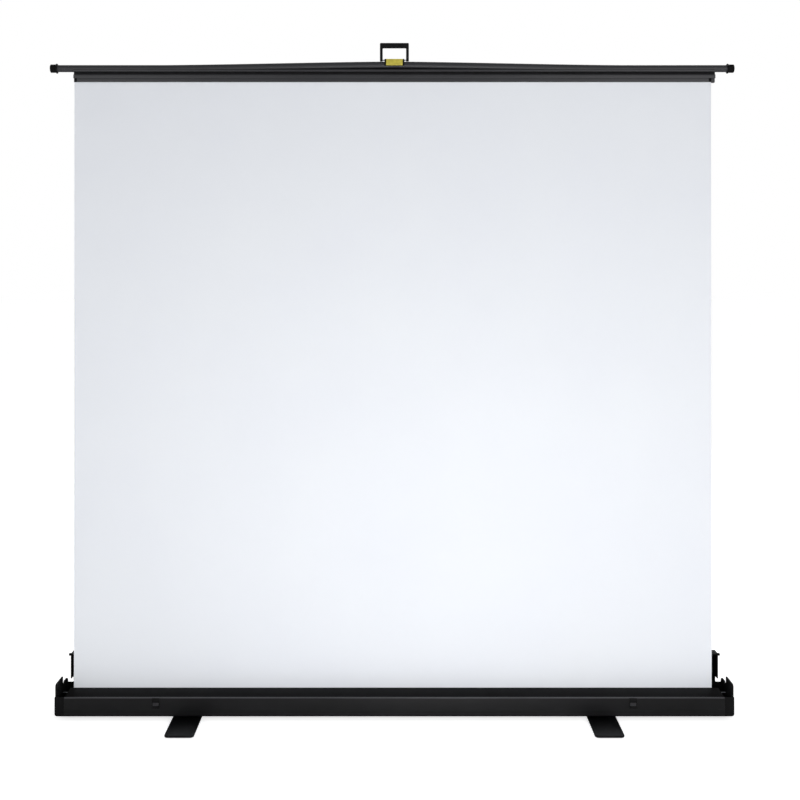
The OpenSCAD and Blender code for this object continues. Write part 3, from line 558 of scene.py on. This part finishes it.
# An elbow rivet's (radius, y) points, from its front head past both arms, with a collar between them.
shank, head, collar, gap_start, rear_end = 4, 7, 8, upper_y + arm_depth + 0.5, lower_y + arm_depth + 0.2
elbow_rivet = [(0, upper_y - 1.2), (head - 1.4, upper_y - 1.2), (head, upper_y - 0.7), (head, upper_y - 0.2),
               (shank, upper_y - 0.2), (shank, gap_start), (collar, gap_start), (collar, lower_y),
               (shank, lower_y), (shank, rear_end), (shank - 0.8, rear_end + 0.5), (0, rear_end + 0.5)]
for side, sign in (("left", -1), ("right", 1)):
    for level, z, angle, y, eye in levels:
        bar = bmesh.new()
        arm(bar, z, angle, y, eye)
        soften(bar, 0.8, 2, 60)
        if side == "left":
            mirrored(bar)
        piece(level + "_link_" + side, bar, black_paint, "black_paint", level + "_" + side,
              level + "_arm_" + side)
    rivet = bmesh.new()
    lathe(rivet, elbow_rivet, (elbow_x * sign, 0, elbow_z), (0, 1, 0), 40)
    piece("elbow_rivet_" + side, rivet, zinc_steel, "zinc_steel", "lower_" + side, "elbow_pin_" + side)


# Brackets of the frame: zinc-plated steel plates, folded from sheet. One is screwed to the floor of
# the case and one to the back of the slat, and each carries two pins.
sheet_metal = 2.5
(_, base_front, base_low), (half_base, base_rear, base_top) = corners("base_bracket")
base, top = bmesh.new(), bmesh.new()
run(base, [(base_front, base_low), (base_rear, base_low), (base_rear, base_top),
           (base_rear - sheet_metal, base_top), (base_rear - sheet_metal, base_low + sheet_metal),
           (base_front, base_low + sheet_metal)], -half_base, half_base)
soften(base, 0.6, 3, 60)
piece("base_plate", base, zinc_steel, "zinc_steel", "case", "base_bracket")
block(top, *corners("top_bracket"))
soften(top, 0.8, 3, 60)
piece("top_plate", top, zinc_steel, "zinc_steel", "top_bar", "top_bracket")


# Slat: a black anodised extrusion along the top of the cloth. It has a groove in front, a saddle for
# the tube and a flange behind it. A round dark bead in the groove is painted shade for the shadow under
# the tube. Its black is the case's anodising painted lighter, as a painted highlight for the light from
# above.
black_bar_painted_lighter = drawn("black_anodising_painted_lighter", "#242427", "#303034", (0.4, 0.5), 0.5)

# The slat's faces, the clamp's seat, the rear flange, the tube's saddle and the groove in front.
(_, slat_front, slat_low), (half_slat, slat_rear, slat_top) = corners("slat")
clamp_seat, clamp_top, tube_radius = slat_front + 8, slat_low + 12, 11
flange_front, flange_foot = slat_rear - 1.7, slat_top - 13
saddle_radius, saddle_start, saddle_end = tube_radius + 0.05, -29.8, -156
groove_z, groove_half, groove_floor = slat_low + 28.4, 4, slat_front + 6
slat = bmesh.new()
run(slat, [(clamp_seat, slat_low), (slat_rear, slat_low), (slat_rear, slat_top),
           (flange_front, slat_top), (flange_front, flange_foot)]
    + arc(tube_y, tube_z, saddle_radius, saddle_start, saddle_end, 16)
    + [(slat_front - 0.1, groove_z + 10.8), (slat_front - 0.1, groove_z + groove_half + 0.8),
       (groove_floor, groove_z + groove_half), (groove_floor, groove_z - groove_half),
       (slat_front + 0.1, groove_z - groove_half - 0.9), (slat_front, clamp_top), (clamp_seat, clamp_top)],
    -half_slat, half_slat)
soften(slat, 0.5, 2, 50)
piece("slat_extrusion", slat, black_bar_painted_lighter, "black_anodised", "top_bar", "slat")
# Painted shade: a dark bead laid in the groove stands for the shadow under the tube, in the pads' black
# rubber finish.
half_shade_bead, shade_bead_radius, shade_bead_rear = half_slat - 2, 3.7, groove_floor + 0.2
shade_bead = bmesh.new()
run(shade_bead, arc(groove_floor - 0.6, groove_z, shade_bead_radius, 90, 270, 10)
    + [(shade_bead_rear, groove_z - shade_bead_radius), (shade_bead_rear, groove_z + shade_bead_radius)], -half_shade_bead, half_shade_bead)
piece("slat_groove_painted_shade", shade_bead, pad_rubber, "black_anodised", "top_bar")


# Clamp: a slimmer extrusion screwed under the slat, which grips the top edge of the cloth. A small
# moulding closes each end.
# Like the slat, the clamp's black is painted lighter, as painted light from above.
low, high = corners("screen_clamp")
grip = bmesh.new()
block(grip, (low[0], slat_front + 0.2, low[2]), high)
soften(grip, 0.6, 3, 60)
piece("cloth_clamp", grip, black_bar_painted_lighter, "black_anodised", "top_bar", "screen_clamp")
for side in ("left", "right"):
    stop = bmesh.new()
    block(stop, *corners("clamp_end_" + side))
    soften(stop, 0.6, 2)
    piece("clamp_stop_" + side, stop, black_moulding, "black_moulding", "top_bar", "clamp_end_" + side)


# Top tube: a 22 mm aluminium tube, anodised like the slat; its black is painted lighter in the same way, as
# painted light from above. The lifting frame pushes its middle up, so that it rises 11.5 mm over the span
# between the slat's outer thirds. It has slid 7 mm to the left.
half_tube, half_bow, bow, slid = corners("top_tube")[1][0], 720, 11.5, 7
straight_ring, ring_spacing = 900, 40


def rise(x):
    """How far the tube's axis is pushed up at that distance along it."""
    share = max(0, 1 - abs(x) / half_bow)
    return bow * (0.5 * share + 0.5 * share * share * (3 - 2 * share))


tube = bmesh.new()
last = None
bowed = list(range(-half_bow, half_bow + 1, ring_spacing))
for x in [-half_tube, -straight_ring] + bowed + [straight_ring, half_tube]:
    ring = [tube.verts.new(((x - slid) / 1000, y / 1000, (z + rise(x)) / 1000))
            for y, z in arc(tube_y, tube_z, tube_radius, 0, 360, 64)[:-1]]
    edges = [tube.edges.new(pair) for pair in zip(ring, ring[1:] + ring[:1])]
    if last:
        bmesh.ops.bridge_loops(tube, edges=last + edges)
    last = edges
bmesh.ops.holes_fill(tube, edges=tube.edges, sides=0)
piece("bar_tube", tube, black_bar_painted_lighter, "black_anodised", "top_bar", "top_tube")


# Tube plugs: black mouldings pushed into the ends of the tube, with a flange ring and grip ribs. The
# shut lid holds the bar by them.
flange_radius, flange, flange_edge = 15.5, 4, 0.9
rib_radius, groove_radius, ribs, grip_length = 13, 12.2, 16, 17
grip_start, grip_end = half_tube + flange, half_tube + flange + grip_length
flange_ring = [(0, 0), (flange_radius - flange_edge, 0), (flange_radius, flange_edge),
               (flange_radius, flange - flange_edge), (flange_radius - flange_edge, flange), (12, flange),
               (0, flange)]
hollow_end = [(0, 0), (groove_radius, 0), (groove_radius, 0.2), (11, 1), (9.2, 1), (8.8, 0.2), (0, 0.2)]
ribbed = [(tube_y + r * cos(pi * i / (2 * ribs)), tube_z + r * sin(pi * i / (2 * ribs)))
          for i, r in enumerate([rib_radius, rib_radius, groove_radius, groove_radius] * ribs)]
for side in ("left", "right"):
    plug = bmesh.new()
    lathe(plug, flange_ring, (half_tube, tube_y, tube_z), (1, 0, 0), 64)
    run(plug, ribbed, grip_start, grip_end)
    lathe(plug, hollow_end, (grip_end, tube_y, tube_z), (1, 0, 0), 64)
    if side == "left":
        mirrored(plug)
    bmesh.ops.translate(plug, vec=(-slid / 1000, 0, 0), verts=plug.verts)
    piece("bar_plug_" + side, plug, black_moulding, "black_moulding", "top_bar", "tube_plug_" + side)


# Handle bracket: pressed steel, painted black. A saddle over the tube's crown, a front plate for the
# label and two lugs that hold the handle's pin.
(_, bracket_front, bracket_low), (half_bracket, bracket_rear, _) = corners("handle_bracket")
crown_axis, saddle_top, label_top = tube_z + bow, bracket_low + 17, bracket_low + 21
sheet_metal, bail_z, lug, lug_radius, lug_low = 2, bracket_low + 19, 4, 4.6, bracket_low + 15.5
bracket = bmesh.new()
run(bracket, [(bracket_front, bracket_low), (bracket_front + sheet_metal, bracket_low),
              (bracket_front + sheet_metal, saddle_top - 2)]
    + arc(tube_y, crown_axis, tube_radius + 0.6, 120, 60, 8)
    + [(bracket_rear, saddle_top), (bracket_front + sheet_metal + 0.5, saddle_top),
       (bracket_front + sheet_metal, label_top), (bracket_front, label_top)],
    -half_bracket, half_bracket)
for sign in (-1, 1):
    near, far = sorted(((half_bracket - lug) * sign, half_bracket * sign))
    run(bracket, [(tube_y - 5, lug_low), (tube_y + 5, lug_low)]
        + arc(tube_y, bail_z, lug_radius, 0, 180, 10), near, far)
soften(bracket, 0.5, 2, 60)
piece("handle_saddle", bracket, black_paint, "black_paint", "top_bar", "handle_bracket")
half_pin, pin_width = 45, 4
pin = bmesh.new()
rod(pin, (-half_pin, tube_y, bail_z), (half_pin, tube_y, bail_z), pin_width)
piece("handle_rod", pin, zinc_steel, "zinc_steel", "top_bar", "handle_pin")


# Label: a bare printed plate of mustard-yellow vinyl stuck to the bracket's front. It carries no
# lettering here.
def printed(name, low, high):
    """Gloss film: slightly uneven ink with a faint pebbled lacquer."""
    ink_cloud, pebble, depth = 12, 1.5, 0.03
    made, place = finish(name)
    ink = node(made, "TexNoise", {"Vector": place, "Scale": 1000 / ink_cloud, "Detail": 3.0}).outputs["Fac"]
    skin = node(made, "TexNoise", {"Vector": place, "Scale": 1000 / pebble, "Detail": 1.0}).outputs["Fac"]
    bump = node(made, "Bump", {"Height": skin, "Distance": depth / 1000}).outputs["Normal"]
    wire(made, Base_Color=tones(made, ink, low, high), Roughness=0.4, Normal=bump)
    return made


def upright(y):
    """Stands a slab up in the plane of the cloth, from that depth towards the front."""
    return Matrix.Translation((0, y / 1000, 0)) @ Matrix.Rotation(radians(90), 4, "X")


yellow_label = printed("yellow_vinyl", "#b8ab3c", "#c9bc4a")
(label_left, label_front, label_low), (label_right, label_rear, label_high) = corners("label_plate")
label_corner = 1.5
label = bmesh.new()
slab(label, rounded((label_left, label_low), (label_right, label_high), label_corner, 4),
     0, label_rear - label_front, upright(label_rear))
soften(label, 0.3, 2, 60)
piece("maker_plate", label, yellow_label, "yellow_label", "top_bar", "label_plate")


# Handle: a bail of flat steel over the pin, with a deep crossbar and slim legs. Its satin coat shows a
# little lighter than the painted bracket under it.
black_coat = coated("satin_black_coat", "#0c0c0d", "#151516")
half_bail, leg, crossbar, thickness = 45.5, 8.7, 16.5, 7
foot_z, bail_top = bail_z - 3.5, bail_z + 54
bar_under, outer_round, inner_round = bail_top - crossbar, 3, 2
leg_inside, inner_x, outer_x = half_bail - leg, half_bail - leg - inner_round, half_bail - outer_round
inner_z, outer_z = bar_under - inner_round, bail_top - outer_round

handle = bmesh.new()
slab(handle, [(-half_bail, foot_z), (-leg_inside, foot_z)]
     + arc(-inner_x, inner_z, inner_round, 180, 90, 4) + arc(inner_x, inner_z, inner_round, 90, 0, 4)
     + [(leg_inside, foot_z), (half_bail, foot_z)]
     + arc(outer_x, outer_z, outer_round, 0, 90, 4) + arc(-outer_x, outer_z, outer_round, 90, 180, 4),
     -thickness / 2, thickness / 2, upright(tube_y))
soften(handle, 1.2, 3, 60)
piece("bail_handle", handle, black_coat, "black_paint", "bail", "handle")


# Cloth: 2.0 m of matt white PVC-coated glass fabric, half a millimetre thick, pulled taut between
# the roller and the clamp. What stays wound on the roller is the second piece.
def woven(name, low, high):
    """Matt screen cloth: a fine weave under the coat, and a broad faint mottle."""
    # The bands of a wave texture are pi / 10 of its unit apart, so this unit sets the yarns 0.38 mm apart.
    unit, mottled, depth = 1.2, 350, 0.03
    made, place = finish(name)
    warp = node(made, "TexWave", {"Vector": place, "Scale": 1000 / unit}, bands_direction="X").outputs["Fac"]
    weft = node(made, "TexWave", {"Vector": place, "Scale": 1000 / unit}, bands_direction="Z").outputs["Fac"]
    weave = node(made, "Math", {0: warp, 1: weft}, operation="MULTIPLY").outputs["Value"]
    mottle = node(made, "TexNoise", {"Vector": place, "Scale": 1000 / mottled, "Detail": 2.0}).outputs["Fac"]
    bump = node(made, "Bump", {"Height": weave, "Distance": depth / 1000}).outputs["Normal"]
    wire(made, Base_Color=tones(made, mottle, low, high), Roughness=0.9, Normal=bump, Specular_IOR_Level=0.2)
    return made


white_screen = woven("matt_white_glass_fabric", "#ebeef4", "#edf0f5")
cloth_width, cloth_left, cloth_thickness, grid = 2000, -1005, 0.5, 32
roller_y, roller_z, tangent_y, bend_z, clamp_y = -19, 43.5, 4.95, 57, 12

# The cloth leaves the roller upright, leans back to the clamp and ends inside it.
leaning = [(tangent_y + (clamp_y - tangent_y) * i / grid, bend_z + (slat_low - bend_z) * i / grid)
           for i in range(grid + 1)]
cloth = bmesh.new()
last = None
for y, z in [(tangent_y - 0.05, roller_z)] + leaning + [(clamp_y, slat_low + 5.8)]:
    ring = [cloth.verts.new(((cloth_width * i / grid + cloth_left) / 1000, y / 1000, z / 1000))
            for i in range(grid + 1)]
    edges = [cloth.edges.new(pair) for pair in zip(ring, ring[1:])]
    if last:
        bmesh.ops.bridge_loops(cloth, edges=last + edges)
    last = edges
bmesh.ops.recalc_face_normals(cloth, faces=cloth.faces)
bmesh.ops.solidify(cloth, geom=cloth.faces[:], thickness=cloth_thickness / 1000)
made = piece("screen_cloth", cloth, white_screen, "white_screen", "case", "screen")
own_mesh(made)

# The roll's last turn is let in a little at both ends, which shows its edge.
roller_radius, under_turn, last_turn, edge = 22, 22.6, 23.3, 0.6
roll = bmesh.new()
lathe(roll, [(roller_radius, 0), (under_turn, 0), (under_turn, edge), (last_turn, edge),
             (last_turn, cloth_width - edge), (under_turn, cloth_width - edge), (under_turn, cloth_width),
             (roller_radius, cloth_width), (roller_radius, 0)],
      (cloth_left, roller_y, roller_z), (1, 0, 0), 96)
piece("cloth_roll", roll, white_screen, "white_screen", "roller", "screen_roll")


# Parts inside: the roller's tube, plugs, spring and hangers, the gears, pins and catch springs keep
# the CAD shapes, in the finish of the real ones.
for name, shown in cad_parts.items():
    if not shown.hide_render:
        moulding = name.startswith("roller_plug")
        shown.data.materials.clear()
        shown.data.materials.append(black_moulding if moulding else zinc_steel)


# Floor, light and camera: a plain pale floor in a white studio, a large soft light from the right
# and a weaker one from the left. The camera stands 3.8 m in front of the cloth at 1.42 m.
def lamp(name, place, aim, size, power):
    """A square soft light at a place, aimed at a point. Metres and watts."""
    light = bpy.data.lights.new(name, "AREA")
    light.size, light.energy = size, power
    made = bpy.data.objects.new(name, light)
    made.location = place
    made.rotation_euler = (Vector(aim) - Vector(place)).to_track_quat("-Z", "Y").to_euler()
    bpy.context.scene.collection.objects.link(made)


lamp("key_light", (2.8, -3.4, 1.9), (0.3, 0, 0.8), 2.4, 40)
lamp("fill_light", (-3.0, -3.2, 1.7), (-0.3, 0, 0.8), 2.4, 30)
lamp("low_light", (0.3, -2.2, 0.3), (0, 0, 0.1), 1.0, 24)
lamp("rear_light", (0.5, 3.2, 3.4), (0, 0, 0.9), 2.4, 50)

# The floor is a shade lighter to the camera alone, so that it meets the white behind it.
floor_radius, floor_lift = 40, 0.68
pale_floor, place = finish("pale_floor")
seen = node(pale_floor, "LightPath").outputs["Is Camera Ray"]
wire(pale_floor, Base_Color=linear("#f2f2f2"), Roughness=0.9, Emission_Color=(1, 1, 1, 1),
     Emission_Strength=between(pale_floor, seen, 0, floor_lift))
ground = bmesh.new()
bmesh.ops.create_circle(ground, cap_ends=True, segments=96, radius=floor_radius)
mesh = bpy.data.meshes.new("floor")
ground.to_mesh(mesh)
ground.free()
mesh.materials.append(pale_floor)
floor = bpy.data.objects.new("floor", mesh)
bpy.context.scene.collection.objects.link(floor)

# The studio's walls look white to the camera and light the object with about a third of that.
room_light, room_white = 0.36, 1.0
world = bpy.data.worlds.new("white_studio")
bpy.context.scene.world = world
world.use_nodes = True
walls = world.node_tree.nodes["Background"].inputs
seen = node(world, "LightPath").outputs["Is Camera Ray"]
walls["Color"].default_value = (1, 1, 1, 1)
world.node_tree.links.new(between(world, seen, room_light, room_white), walls["Strength"])

# The camera looks level, and its shift brings the screen into the frame as in the photo.
eye_distance, eye_height = 3.79, 1.42
eye = bpy.data.cameras.new("photo_camera")
eye.lens, eye.shift_x, eye.shift_y, eye.clip_end = 54.45, 0.007, -0.1769, 200
camera = bpy.data.objects.new("photo_camera", eye)
camera.location = (0, -eye_distance, eye_height)
camera.rotation_euler = (radians(90), 0, 0)
bpy.context.scene.collection.objects.link(camera)
bpy.context.scene.camera = camera
bpy.context.scene.view_settings.view_transform = "Standard"
